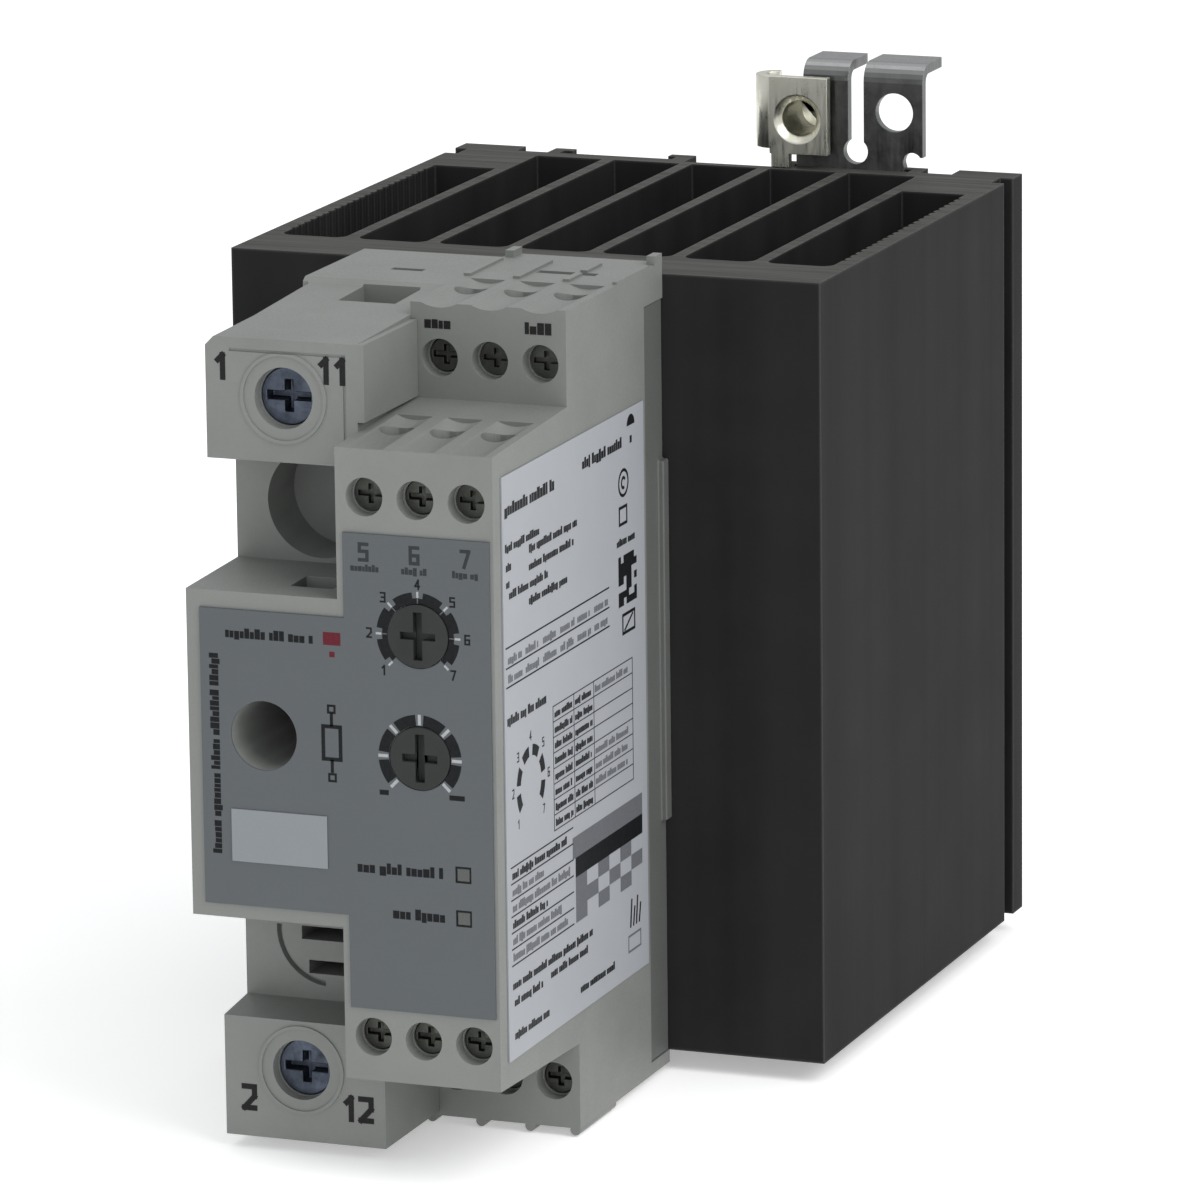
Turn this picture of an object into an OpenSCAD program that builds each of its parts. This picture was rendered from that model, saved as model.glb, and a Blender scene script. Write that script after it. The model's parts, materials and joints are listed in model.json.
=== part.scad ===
// Two-module solid state relay on a 70 mm aluminium heatsink, for a 35 mm top-hat rail.
// Axes: +X to the right, +Y towards the rail, +Z up. Shapes are drawn from the heatsink's
// front face and lower end, and moved so that the origin is the rail's centre on its front plane.

/* [Heatsink] */
// Width of the heatsink
sink_w = 70; // [68:1:76]
// Height of the heatsink, the extrusion's length
sink_h = 88.7; // [86:0.1:92]
// Thickness of the front plate
sink_plate = 9.3; // [7:0.1:10]
// Distance between neighbouring fins
fin_pitch = 9.8; // [9.6:0.1:10]
// Thickness of an inner fin
fin_t = 1.5; // [1.2:0.1:2]
// Thickness of an outer wall
sink_wall = 2; // [1.6:0.1:2.4]

/* [Housing] */
// Left face of the housing
house_left = -18.8; // [-19:0.1:-18.6]
// Right face of the housing
house_right = 16.6; // [16.4:0.1:16.8]
// How far the front stands forward of the heatsink
front_depth = 51.2; // [50:0.1:53]
// Wall thickness of the housing
wall = 1.4; // [1.2:0.1:1.6]

/* [Control terminals] */
// Place of the first screw in each row
first_screw_x = 2; // [1.8:0.1:2.2]
// Distance between neighbouring screws
screw_pitch = 5.8; // [5.7:0.05:5.9]
// Radius of a screw head
head_r = 1.9; // [1.7:0.1:1.95]

/* [Power terminals] */
// Centre line of both power screws
power_x = -9.8; // [-10.2:0.1:-9.4]
// Radius of a power screw head
power_head_r = 3.2; // [2.8:0.1:3.4]

/* [Rail] */
// Height of the rail's centre above the heatsink's lower end
rail_z = 44.35; // [42:0.05:46]
// Width of the rail
rail_w = 35; // [35:1:35]
// Thickness of the clip's sheet
sheet = 1.2; // [1:0.1:1.4]

/* [Hidden] */
$fn = 48;
slack = 0.05;             // running clearance round a turning or sliding shaft
past = 0.1;               // how far a cut runs past a face
rear_y = 71;              // the heatsink's rear face, which seats on the rail
divide_x = -1.3;          // plane between the power side and the control side
step_x = 0.1;             // inner face of the wall between the two sides
power_right = divide_x - wall;  // inner faces of the side walls
inner_left = house_left + wall;
inner_right = house_right - wall;
front_y = -front_depth;
upper_rear_y = -29.4;     // front face of the upper rear terminal row
lower_rear_y = -28;       // front face of the lower rear terminal row
line_y = -44.7;           // front face of the line terminal
load_y = -43.5;           // front face of the load terminal
recess_y = -37;           // front face of the two side recesses
upper_front_z = 73.2;     // heights of the control screws, row by row
upper_rear_z = 84;
lower_front_z = 14.05;
lower_rear_z = 3.8;
line_z = 81.8;
load_z = 7.1;
well_x = -9.97;           // access well to the fixing screw
well_z = 46.37;
well_r = 3.8;
pocket_x = -9;            // round pockets in the two recesses
pocket_r = 6.15;
upper_pocket_z = 68.9;
lower_pocket_z = 21;
pocket_floor_y = -28.4;
knob_x = 8;
mode_z = 58.6;
level_z = 45.3;
knob_r = 3.43;
lamp_x = 12.75;
control_lamp_z = 32.9;
load_lamp_z = 28.1;
head_deep = 2;            // how far a control screw's head lies behind its block's front face
bar_deep = head_deep + 5.2;
bar_t = 0.8;
front_board_y = front_y + bar_deep + bar_t;  // front faces of the circuit boards
rear_board_y = lower_rear_y + bar_deep + bar_t;
board = 1.6;
power_head_deep = 1.5;    // the same for a power screw
frame_depth = 5.8;        // depth of the grey frame between housing and heatsink
frame_top = 86;
clip_x = 14.7;            // the rail clip's centre line
clip_y = 68.15;           // front face of the clip's sheet
clip_low = 30;
rail_top = rail_z + rail_w / 2;
rail_low = rail_z - rail_w / 2;
tap_r = 2;                // radius of an M4 thread
base_front = -2.4;        // front faces of the power module's layers
dbc_front = -3;
chip_front = -3.4;

ROWS = ["upper_front", "upper_rear", "lower_front", "lower_rear"];

// ---------- small shapes ----------

// A box given by its two corners.
module block(low, high) translate(low) cube(high - low);

// A cylinder along Y from y0 to y1.
module rod_y(x, z, y0, y1, r) translate([x, y0, z]) rotate([-90, 0, 0]) cylinder(r = r, h = y1 - y0);

// A cylinder along Z from z0 to z1.
module rod_z(x, y, z0, z1, r) translate([x, y, z0]) cylinder(r = r, h = z1 - z0);

// An outline in Y and Z, extruded along X.
module side_slab(x0, x1, outline)
    translate([x0, 0, 0]) rotate([90, 0, 90]) linear_extrude(x1 - x0) polygon(outline);

// An outline in X and Z, extruded along Y.
module front_slab(y0, y1)
    translate([0, y1, 0]) rotate([90, 0, 0]) linear_extrude(y1 - y0) children();

// A slot along Z with round ends, wider in X than in Y.
module oval_z(x, y, z0, z1, half_x, half_y) {
    block([x - half_x + half_y, y - half_y, z0], [x + half_x - half_y, y + half_y, z1]);
    for (side = [-1, 1])
        rod_z(x + side * (half_x - half_y), y, z0, z1, half_y);
}

// ---------- heatsink and power module ----------

// One channel between fins, with a rounded front end.
module channel(x0, x1, y1, r = 1.4) {
    translate([x0, sink_plate + r]) square([x1 - x0, y1 - sink_plate - r]);
    translate([x0 + r, sink_plate]) square([x1 - x0 - 2 * r, r + past]);
    for (x = [x0 + r, x1 - r])
        translate([x, sink_plate + r]) circle(r);
}

// Slot for a clip in the rear face, with lips that keep the clip in.
module clip_slot() {
    translate([7.6, 68]) square([14.3, 1.7]);
    translate([8.7, 69.6]) square([12.1, 2]);
    translate([23.4, 68]) square([3.9, 4]);
}

// Grooves in the inner face of an outer wall.
module grooves() {
    groove_pitch = 1.8;
    for (y = [13:groove_pitch:53])
        translate([sink_w / 2 - sink_wall, y]) polygon([[-0.1, -0.1], [0.5, 0.45], [-0.1, 1]]);
}

module sink_profile() {
    outer_x = sink_w / 2;
    difference() {
        translate([-outer_x, 0]) square([sink_w, rear_y]);
        for (n = [-2:2])
            channel((n - 0.5) * fin_pitch + fin_t / 2, (n + 0.5) * fin_pitch - fin_t / 2, 65.5);
        for (side = [0, 1])
            mirror([side, 0]) {
                channel(2.5 * fin_pitch + fin_t / 2, outer_x - sink_wall, 56);
                clip_slot();
                grooves();
                translate([outer_x - 1.6, 64.2]) square([2, 3.3]);
            }
        translate([-5.6, 66.8]) square([11.2, 5]);
    }
}

module heatsink() color([0.16, 0.16, 0.165]) difference() {
    linear_extrude(sink_h) sink_profile();
    rod_y(well_x, well_z, -past, 8, tap_r);
    rod_y(clip_x, 18, 65, 69, tap_r);
    rod_y(clip_x, 81.5, 65, 69, 1.25);
}

module thermal_pad() color([0.75, 0.75, 0.72]) difference() {
    block([-16, -0.2, 14], [13.6, 0, 76]);
    rod_y(well_x, well_z, -1, 1, 2.2);
}

module module_base() color([0.72, 0.45, 0.28]) difference() {
    block([-16, base_front, 14], [13.6, -0.2, 76]);
    rod_y(well_x, well_z, -3, 1, 2.2);
}

module ceramic_substrates() color([0.93, 0.93, 0.9])
    for (z = [18, 54])
        block([-15.4, dbc_front, z], [13, base_front, z + 18]);

module thyristor_chips() color([0.35, 0.36, 0.4])
    for (x = [power_x - 4, 3], z = [22.6, 58])
        block([x, chip_front, z], [x + 8, dbc_front, z + 8]);

module module_screw() color([0.7, 0.7, 0.72]) {
    rod_y(well_x, well_z, -3.9, 7.5, tap_r - 0.02);
    difference() {
        rod_y(well_x, well_z, -6.6, -3.9, 3.4);
        cross_slot(well_x, well_z, -6.6, 2.4, 0.9, 1.5);
    }
}

// ---------- housing ----------

// Outline of the control side: front rows, rear rows and the steps between them.
control_outline = [
    [0, -1.4], [lower_rear_y, -1.4], [lower_rear_y, 8.3], [front_y, 9.2], [front_y, 78.4],
    [upper_rear_y, 79.5], [upper_rear_y, 90], [0, 90]];
// Outline of the power side: two terminal blocks, the middle block and two recesses.
power_outline = [
    [0, -1.4], [load_y, -0.9], [load_y, 12.6], [recess_y, 13.3], [recess_y, 25.9], [front_y, 25.9],
    [front_y, 61.9], [recess_y, 62.3], [recess_y, 74.8], [line_y, 74.8], [line_y, 88.1],
    [-18, 88.9], [-17, 89.5], [0, 89.5]];
// Room inside the control side.
control_room = [
    [past, 0], [-13.8, 0], [-13.8, 8], [-26.4, 8], [-26.4, 10.4], [-37.2, 10.4], [-37.2, 17.9],
    [front_y + wall, 17.9], [front_y + wall, 69.4], [-37.2, 69.4], [-37.2, 77.8], [-28, 77.8],
    [-28, 80.2], [-15.2, 80.2], [-15.2, 88.6], [past, 88.6]];
// Room inside the power side.
power_room = [
    [past, 0.4], [-12.4, 0.4], [-12.4, 13.8], [recess_y + wall, 13.8], [recess_y + wall, 27.3],
    [front_y + wall, 27.3], [front_y + wall, 60.5], [recess_y + wall, 60.5],
    [recess_y + wall, 74.2], [-12.4, 74.2], [-12.4, 88], [past, 88]];

// Everything taken out for one control terminal: well, head bore, clamp chamber, wire entry.
// up is 1 where the wire comes from above and -1 where it comes from below.
module control_cut(x, z, face, up, end_z) {
    entry = [z, end_z + up];
    bar_end = [z, z - up * 4.6];
    rod_y(x, z, face - past, face + head_deep - 0.1, 2.1);
    rod_y(x, z, face + head_deep - 0.2, face + head_deep + 1.4, head_r + slack);
    block([x - 2.45, face + head_deep + 1.25, z - 2.3], [x + 2.45, face + head_deep + 10.3, z + 2.3]);
    oval_z(x, face + head_deep + 7.4, min(entry), max(entry), 1.9, 1.55);
    block([x - 1.2, face + bar_deep - 0.1, min(bar_end)], [x + 1.2, face + bar_deep + bar_t + 0.1, max(bar_end)]);
}

// A shallow trough in a terminal block's top, from its front edge past the wire entry.
module trough(x, edge_z, face, tilt)
    translate([x, face - past, edge_z + 4.1]) rotate([tilt - 90, 0, 0]) cylinder(r = 4.6, h = 14.4);

// Everything taken out for one power terminal.
module power_cut(z, face, up, end_z) {
    entry = [z, end_z + up];
    bar_end = [z, z - up * 8];
    rod_y(power_x, z, face - past, face + power_head_deep, 3.35);
    rod_y(power_x, z, face + power_head_deep - 0.1, face + power_head_deep + 3.1, power_head_r + slack);
    rod_y(power_x, z, face + power_head_deep + 3, face + 9.2, 2.5 + slack);
    block([power_x - 4.8, face + 9.1, z - 4.5], [power_x + 4.8, face + 29.6, z + 4.5]);
    block([-11.6, face + 19.7, min(entry)], [-4.9, face + 27.1, max(entry)]);
    block([power_x - 3.3, face + 17.9, min(bar_end)], [power_x + 3.3, face + 19.7, max(bar_end)]);
}

// A raised ring round a power screw's well.
module raised_ring(z, face) difference() {
    rod_y(power_x, z, face - 0.18, face + past, 5);
    rod_y(power_x, z, face - 1, face + 1, 4.6);
}

// The grey frame's place at the rear edge.
module frame_place()
    block([house_left - 1, -frame_depth, 0], [house_right + 1, 1, frame_top]);

// Opening between the two sides for the gate wires.
module gate_window() block([divide_x - 2, -16, 30], [step_x + 1, -8, 64]);

module control_housing() color([0.62, 0.64, 0.61]) difference() {
    union() {
        difference() {
            side_slab(divide_x, house_right, control_outline);
            side_slab(step_x, inner_right, control_room);
        }
        // Ribs between the wire entries above, and pegs below.
        for (n = [0:3]) {
            rib_x = first_screw_x + (n - 0.5) * screw_pitch - 0.4;
            block([rib_x, -14, 89.5], [min(rib_x + 0.8, house_right), -4, 90.3]);
            rod_y(min(rib_x + 0.4, house_right - 0.6), -1.6, lower_rear_y, -17, 0.6);
        }
        // Locating nibs against the heatsink's front face.
        block([-0.9, -2.6, 89], [0.1, 0, 90.8]);
        block([house_right - 1, -2.2, 89], [house_right, 0, 91]);
    }
    frame_place();
    gate_window();
    for (n = [0:2]) {
        x = first_screw_x + n * screw_pitch;
        control_cut(x, upper_front_z, front_y, 1, 78.7);
        control_cut(x, upper_rear_z, upper_rear_y, 1, 90);
        control_cut(x, lower_front_z, front_y, -1, 8.9);
        control_cut(x, lower_rear_z, lower_rear_y, -1, -1.4);
        trough(x, 78.4, front_y, atan(1.1 / 21.8));
        trough(x, 90, upper_rear_y, 0);
    }
    block([5.6, -10, 88], [12.5, -8.6, 91]);
    // Windows in the front for the two knobs and the two lamps.
    for (z = [mode_z, level_z])
        rod_y(knob_x, z, front_y - past, front_y + wall + past, knob_r + slack);
    for (z = [control_lamp_z, load_lamp_z])
        block([lamp_x - 0.85, front_y - 1, z - 0.85], [lamp_x + 0.85, front_y + 2, z + 0.85]);
}

// A round plug of wall behind a recess, clear of the side walls.
module pocket_wall(z) intersection() {
    rod_y(pocket_x, z, recess_y, pocket_floor_y, pocket_r + 1.2);
    block([inner_left - past, recess_y, 13], [power_right + past, 0, 75]);
}

// The lower pocket is covered but for two slots and a curved edge.
module slotted_pocket(z) {
    deep = recess_y + 1;
    for (slot = [[-12.2, 20, 21.5], [-11.4, 16.2, 17.7]])
        block([slot[0], recess_y - past, slot[1]], [-2.6, pocket_floor_y - wall, slot[2]]);
    intersection() {
        difference() {
            rod_y(pocket_x, z, recess_y - past, deep, pocket_r);
            rod_y(pocket_x, z, recess_y - 1, deep + 1, pocket_r - 0.6);
        }
        block([pocket_x - 8, recess_y - 1, 13], [pocket_x - 0.5, deep + 1, 21.5]);
    }
}

module power_housing() color([0.62, 0.64, 0.61]) difference() {
    union() {
        difference() {
            side_slab(house_left, divide_x, power_outline);
            side_slab(inner_left, power_right, power_room);
        }
        for (z = [upper_pocket_z, lower_pocket_z])
            pocket_wall(z);
        rod_y(well_x, well_z, front_y, base_front, well_r + 1);
        raised_ring(line_z, line_y);
        raised_ring(load_z, load_y);
        // Both terminal blocks reach a little over the control side's steps.
        block([divide_x - past, line_y, 79.7], [-0.5, upper_rear_y - past, 88.1]);
        block([divide_x - past, load_y, -0.9], [0, lower_rear_y - past, 8]);
    }
    frame_place();
    gate_window();
    power_cut(line_z, line_y, 1, 89);
    power_cut(load_z, load_y, -1, -1.4);
    rod_y(pocket_x, upper_pocket_z, recess_y - past, pocket_floor_y - wall, pocket_r);
    slotted_pocket(lower_pocket_z);
    rod_y(well_x, well_z, front_y - past, -3.9, well_r);
    // Slots in the top faces.
    block([-8.3, -47.3, 59], [-3.4, -42.9, 63]);
    block([-11.4, -10.6, 87], [-7.6, -9.4, 91]);
    // A shallow line near the line terminal's right and upper edges.
    block([-2.9, line_y - 1, 76], [-2.6, line_y + 0.15, 86.9]);
    block([-16, line_y - 1, 86.6], [-2.6, line_y + 0.15, 86.9]);
    // A chamfer along the line terminal's upper left edge.
    translate([house_left, line_y - 1, 88.4]) rotate([0, 45, 0]) block([-0.9, 0, -0.9], [0.9, 28, 0.9]);
}

module base_frame() color([0.45, 0.46, 0.45]) {
    difference() {
        block([house_left + 0.1, -frame_depth + slack, slack], [house_right - 0.1, -slack, frame_top - slack]);
        block([-17, -frame_depth - 1, 1.8], [14.8, 1, 84.2]);
    }
    // Snap bars beside the heatsink.
    block([house_right - 0.2, -1.7, 27], [house_right + 0.6, -slack, 68]);
    block([house_left - 0.6, -1.7, 27], [house_left + 0.2, -slack, 68]);
}

foil = 0.25;
module front_foil() color([0.38, 0.4, 0.41]) difference() {
    front_slab(front_y - foil, front_y)
        polygon([[-17.2, 27.4], [-0.5, 27.4], [-0.5, 17.2], [16.2, 17.2], [16.2, 69.3],
                 [-0.5, 69.3], [-0.5, 60], [-17.2, 60]]);
    for (z = [mode_z, level_z])
        rod_y(knob_x, z, front_y - 1, front_y + 1, knob_r + 0.1);
    rod_y(well_x, well_z, front_y - 1, front_y + 1, well_r);
    for (z = [control_lamp_z, load_lamp_z])
        block([lamp_x - 0.85, front_y - 1, z - 0.85], [lamp_x + 0.85, front_y + 1, z + 0.85]);
}

module side_label() color([0.78, 0.79, 0.8])
    block([house_right, -49, 11.9], [house_right + 0.2, -6.8, 75.8]);

// ---------- screws and clamps ----------

// A cross and a longer slot, cut into a screw's head.
module cross_slot(x, z, y0, half, w, deep) {
    block([x - half, y0 - past, z - w / 2], [x + half, y0 + deep, z + w / 2]);
    block([x - w / 2, y0 - past, z - half * 0.7], [x + w / 2, y0 + deep, z + half * 0.7]);
}

module control_screw(x, z, face) color([0.3, 0.32, 0.34]) {
    head_y = face + head_deep;
    rod_y(x, z, head_y + 1.2, head_y + 5.1, 1.5);
    difference() {
        rod_y(x, z, head_y, head_y + 1.2, head_r);
        cross_slot(x, z, head_y, 1.5, 0.6, 0.7);
    }
}

module control_clamp(x, z, face) color([0.75, 0.73, 0.62]) difference() {
    head_y = face + head_deep;
    block([x - 2.3, head_y + 3.8, z - 2], [x + 2.3, head_y + 10, z + 2]);
    block([x - 1.7, head_y + 5.05, z - 3], [x + 1.7, head_y + 9, z + 3]);
    rod_y(x, z, head_y + 3.5, head_y + 6, 1.5 + slack);
}

module power_screw(z, face) color([0.36, 0.39, 0.45]) {
    head_y = face + power_head_deep;
    rod_y(power_x, z, head_y + 3, face + 17.9, 2.5);
    difference() {
        rod_y(power_x, z, head_y, head_y + 3, power_head_r);
        cross_slot(power_x, z, head_y, 2.5, 0.9, 1.6);
    }
}

module power_clamp(z, face) color([0.72, 0.7, 0.6]) difference() {
    block([power_x - 4.6, face + 15.6, z - 4.2], [power_x + 4.6, face + 28.9, z + 4.2]);
    block([power_x - 3.4, face + 17.85, z - 5], [power_x + 3.4, face + 27.3, z + 5]);
    rod_y(power_x, z, face + 15, face + 18, 2.5 + slack);
}

// A bar through a power clamp, turned back to a chip on the module.
// far_z is its free end in the clamp, foot_z the edge of the foot that lies on the chip.
module busbar(face, far_z, foot_z) color([0.8, 0.52, 0.32]) {
    bar_y = face + 18;
    block([power_x - 3, bar_y, min(far_z, foot_z)], [power_x + 3, bar_y + 1.6, max(far_z, foot_z)]);
    block([power_x - 3, bar_y, min(foot_z, foot_z + 1.6)], [power_x + 3, chip_front, foot_z + 1.6]);
}

// Three contact bars of one terminal row, from inside the clamps to the board at board_face.
module contact_row(z, face, up, board_face, reach) color([0.82, 0.74, 0.5])
    for (n = [0:2]) {
        x = first_screw_x + n * screw_pitch;
        bar_y = face + bar_deep;
        far_z = z + up * 1.7;
        foot_z = z - up * reach;
        block([x - 1, bar_y, min(far_z, foot_z)], [x + 1, bar_y + bar_t, max(far_z, foot_z)]);
        if (board_face > bar_y + bar_t + past)
            block([x - 1, bar_y, min(foot_z, foot_z + up)], [x + 1, board_face, max(foot_z, foot_z + up)]);
    }

module upper_contacts() {
    contact_row(upper_front_z, front_y, 1, front_board_y, 8);
    contact_row(upper_rear_z, upper_rear_y, 1, rear_board_y, 10);
}

module lower_contacts() {
    contact_row(lower_front_z, front_y, -1, front_board_y, 8);
    contact_row(lower_rear_z, lower_rear_y, -1, rear_board_y, 10);
}

// ---------- electronics ----------

module front_board() color([0.1, 0.35, 0.2])
    block([0.3, front_board_y, 18.4], [15, front_board_y + board, 69]);

module rear_board() color([0.1, 0.35, 0.2])
    block([0.3, rear_board_y, 8.6], [15, rear_board_y + board, 79.6]);

module link_board() color([0.1, 0.35, 0.2])
    block([0.4, front_board_y + board, 26], [2, rear_board_y, 64]);

module varistor() color([0.15, 0.25, 0.55])
    translate([2, -32, 34]) rotate([0, 90, 0]) cylinder(r = 5, h = 4);

module board_chips() {
    color([0.92, 0.92, 0.9])
        for (z = [44, 54])
            block([2, -39, z], [5.4, -32, z + 6.4]);
    color([0.12, 0.12, 0.13])
        block([4.4, front_board_y + board, 28], [11.4, front_board_y + board + 1.4, 35]);
}

module capacitor() color([0.2, 0.22, 0.3]) translate([2, -26.6, 47]) rotate([0, 90, 0]) cylinder(r = 4, h = 11);

module status_lamps() color([0.8, 0.85, 0.75])
    for (z = [control_lamp_z, load_lamp_z])
        block([lamp_x - 0.75, front_y - foil, z - 0.75], [lamp_x + 0.75, front_board_y, z + 0.75]);

// A rotor flush with the front, with an arrow-shaped slot, and its stem.
module knob(z) color([0.24, 0.25, 0.25]) {
    rotor_y = front_y - foil - 0.15;
    rod_y(knob_x, z, rotor_y + 1.9, front_board_y - 1.2, 1.5);
    difference() {
        rod_y(knob_x, z, rotor_y, rotor_y + 1.9, knob_r);
        block([knob_x - 0.5, rotor_y - 1, z - 2.6], [knob_x + 0.5, rotor_y + 1, z + 2.6]);
        block([knob_x - 2, rotor_y - 1, z - 0.4], [knob_x + 2, rotor_y + 0.8, z + 0.4]);
    }
}

module knob_seat(z) difference() {
    block([knob_x - 4.2, -49.3, z - 4.2], [knob_x + 4.2, front_board_y, z + 4.2]);
    rod_y(knob_x, z, -50, front_board_y - 1, 1.5 + slack);
}

module mode_knob() knob(mode_z);
module level_knob() knob(level_z);
module mode_switch() color([0.15, 0.15, 0.16]) knob_seat(mode_z);
module level_potentiometer() color([0.2, 0.3, 0.55]) knob_seat(level_z);

// ---------- rail clip and earth nut ----------

tab_low = 90.4;
tab_top = 99.1;
lip_y = 75.2;
bend_r = 1;
pull_x = 20.2;            // the round hole in the right tab
nut_x = 8.9;              // the earth screw's axis
nut_z = 94.6;

// The clip's strip, seen from the front, with the window for its spring.
module strip_outline() difference() {
    translate([8, clip_low]) square([13.4, tab_low - clip_low]);
    translate([12.6, 66]) square([4.2, 17.2]);
}

// One tab above the strip, with a lip bent back through a quarter turn at its top.
module tab(x0, x1, low = tab_low) {
    centre_y = clip_y + sheet + bend_r;
    arc = [for (a = [180:-15:90]) [cos(a), sin(a)]];
    outer = [for (p = arc) [centre_y, tab_top] + (bend_r + sheet) * p];
    inner = [for (i = [len(arc) - 1:-1:0]) [centre_y, tab_top] + bend_r * arc[i]];
    side_slab(x0, x1, concat(
        [[clip_y, low]], outer, [[lip_y, tab_top + bend_r + sheet], [lip_y, tab_top + bend_r]],
        inner, [[clip_y + sheet, low]]));
}

// A hook over one edge of the rail: z_edge is the rail's edge, way is 1 for the upper hook.
module rail_hook(z_edge, way) {
    shelf = z_edge + way * 0.15;
    top = shelf + way * sheet;
    lip = z_edge - way * 1.6;
    back = 73.4;
    side_slab(9.4, 20, [[clip_y + sheet / 2, shelf], [72.2, shelf], [72.2, lip], [back, lip],
                        [back, top], [clip_y + sheet / 2, top]]);
}

module din_clip() color([0.72, 0.73, 0.74]) difference() {
    union() {
        front_slab(clip_y, clip_y + sheet) strip_outline();
        block([5.5, clip_y, tab_low], [14.5, clip_y + sheet, 98.6]);
        tab(8.9, 14.5, 98.6);
        tab(16.4, 23.7);
        rail_hook(rail_top, 1);
    }
    rod_y(15.4, tab_low + 0.4, 67, 71, 1.5);
    rod_y(22.4, 89.8, 67, 71, 1.15);
    rod_y(6.7, 89.8, 67, 71, 1.15);
    rod_y(pull_x, 95.6, 67, 71, 2.3);
    rod_y(nut_x, nut_z, 67, 71, 2.7);
}

// One ring of points round the spring's wire, after i steps along its helix.
spring_low = 66;
spring_high = 80.2;
spring_wire = 0.35;
spring_r = 0.95;
spring_turns = 7;
spring_sides = 6;
spring_steps = 12 * spring_turns;
function spring_ring(i) = [for (k = [0:spring_sides - 1])
    let (turn = 360 * spring_turns * i / spring_steps, a = 360 * k / spring_sides,
         r = spring_r + spring_wire * cos(a),
         rise = spring_high - spring_low - 2 * spring_wire)
    [clip_x + r * cos(turn), clip_y + 1.25 + r * sin(turn),
     spring_low + spring_wire * (1 + sin(a)) + rise * i / spring_steps]];

// Coil spring between the clip's window and the fixed pin.
module clip_spring() color([0.6, 0.6, 0.62]) {
    points = [for (i = [0:spring_steps]) each spring_ring(i)];
    faces = concat(
        [[for (k = [spring_sides - 1:-1:0]) k]],
        [for (i = [0:spring_steps - 1], k = [0:spring_sides - 1])
            let (n = (k + 1) % spring_sides, a = i * spring_sides, b = a + spring_sides)
            [a + k, a + n, b + n, b + k]],
        [[for (k = [0:spring_sides - 1]) spring_steps * spring_sides + k]]);
    polyhedron(points, faces);
}

module spring_pin() color([0.6, 0.6, 0.62]) rod_y(clip_x, 81.5, 65.6, 70.4, 1.23);

module lower_rail_hook() color([0.72, 0.73, 0.74]) {
    difference() {
        block([8, clip_y, 10], [21.4, clip_y + sheet, rail_low]);
        rod_y(clip_x, 18, 60, 75, 2.2);
    }
    rail_hook(rail_low, -1);
}

module hook_screw() color([0.65, 0.66, 0.68]) {
    rod_y(clip_x, 18, 65.6, clip_y + sheet, tap_r - 0.02);
    difference() {
        rod_y(clip_x, 18, clip_y + sheet, clip_y + sheet + 1.5, 3.4);
        block([clip_x - 2.6, 70.2, 17.5], [clip_x + 2.6, 72, 18.5]);
        block([clip_x - 0.5, 70.2, 16.2], [clip_x + 0.5, 72, 19.8]);
    }
}

// A folded sheet on the clip's left tab, with a nut welded behind it for the earth conductor's screw.
module earth_nut() color([0.76, 0.77, 0.78]) difference() {
    fold_x = 5.4;
    fold_y = 68.3;
    union() {
        block([fold_x, 66, 90.4], [12.6, 67.2, 99.6]);
        block([fold_x, 69.4, 91], [12.4, 70.6, 98.6]);
        // The fold round the tab's left edge.
        difference() {
            rod_z(fold_x, fold_y, 91, 99.6, 2.3);
            rod_z(fold_x, fold_y, 90, 100, 1.1);
            block([fold_x, 60, 90], [10, 75, 100]);
        }
        block([fold_x + 0.2, 66, sink_h + 0.1], [fold_x + 2.4, 67.2, 90.4]);
        rod_y(nut_x, nut_z, 67.1, 69.45, 2.65);
        block([nut_x - 3.4, 70.5, nut_z - 3.4], [nut_x + 3.4, 74.4, nut_z + 3.4]);
    }
    rod_y(nut_x, nut_z, 65, 73.6, 2.1);
    translate([nut_x, 65.9, nut_z]) rotate([-90, 0, 0]) cylinder(r1 = 3, r2 = 2, h = 1);
}

// ---------- the whole relay, moved to the rail's centre ----------

// Control terminals by row: height and front face.
function row_z(row) = [upper_front_z, upper_rear_z, lower_front_z, lower_rear_z][row];
function row_face(row) = [front_y, upper_rear_y, front_y, lower_rear_y][row];

module placed() translate([0, -rear_y, -rail_z]) children();

placed() heatsink();
placed() thermal_pad();
placed() module_base();
placed() ceramic_substrates();
placed() thyristor_chips();
placed() module_screw();
placed() base_frame();
placed() control_housing();
placed() power_housing();
placed() front_foil();
placed() side_label();
placed() busbar(line_y, 84.5, 60);  // line_busbar
placed() busbar(load_y, 4, 27);  // load_busbar
placed() power_screw(line_z, line_y);  // line_screw
placed() power_screw(load_z, load_y);  // load_screw
placed() power_clamp(line_z, line_y);  // line_clamp
placed() power_clamp(load_z, load_y);  // load_clamp
for (row = [0:3], n = [1:3]) {
    screw_name = str(ROWS[row], "_screw_", n);
    clamp_name = str(ROWS[row], "_clamp_", n);
    x = first_screw_x + (n - 1) * screw_pitch;
    placed() control_screw(x, row_z(row), row_face(row));
    placed() control_clamp(x, row_z(row), row_face(row));
}
placed() upper_contacts();
placed() lower_contacts();
placed() front_board();
placed() rear_board();
placed() link_board();
placed() varistor();
placed() board_chips();
placed() capacitor();
placed() status_lamps();
placed() mode_knob();
placed() mode_switch();
placed() level_knob();
placed() level_potentiometer();
placed() din_clip();
placed() clip_spring();
placed() spring_pin();
placed() lower_rail_hook();
placed() hook_screw();
placed() earth_nut();
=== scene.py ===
"""Looks of the solid state relay: materials for every CAD piece, printing, lights and camera."""

import json
import math
import random

import bmesh
import bpy
from mathutils import Matrix, Vector


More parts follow.
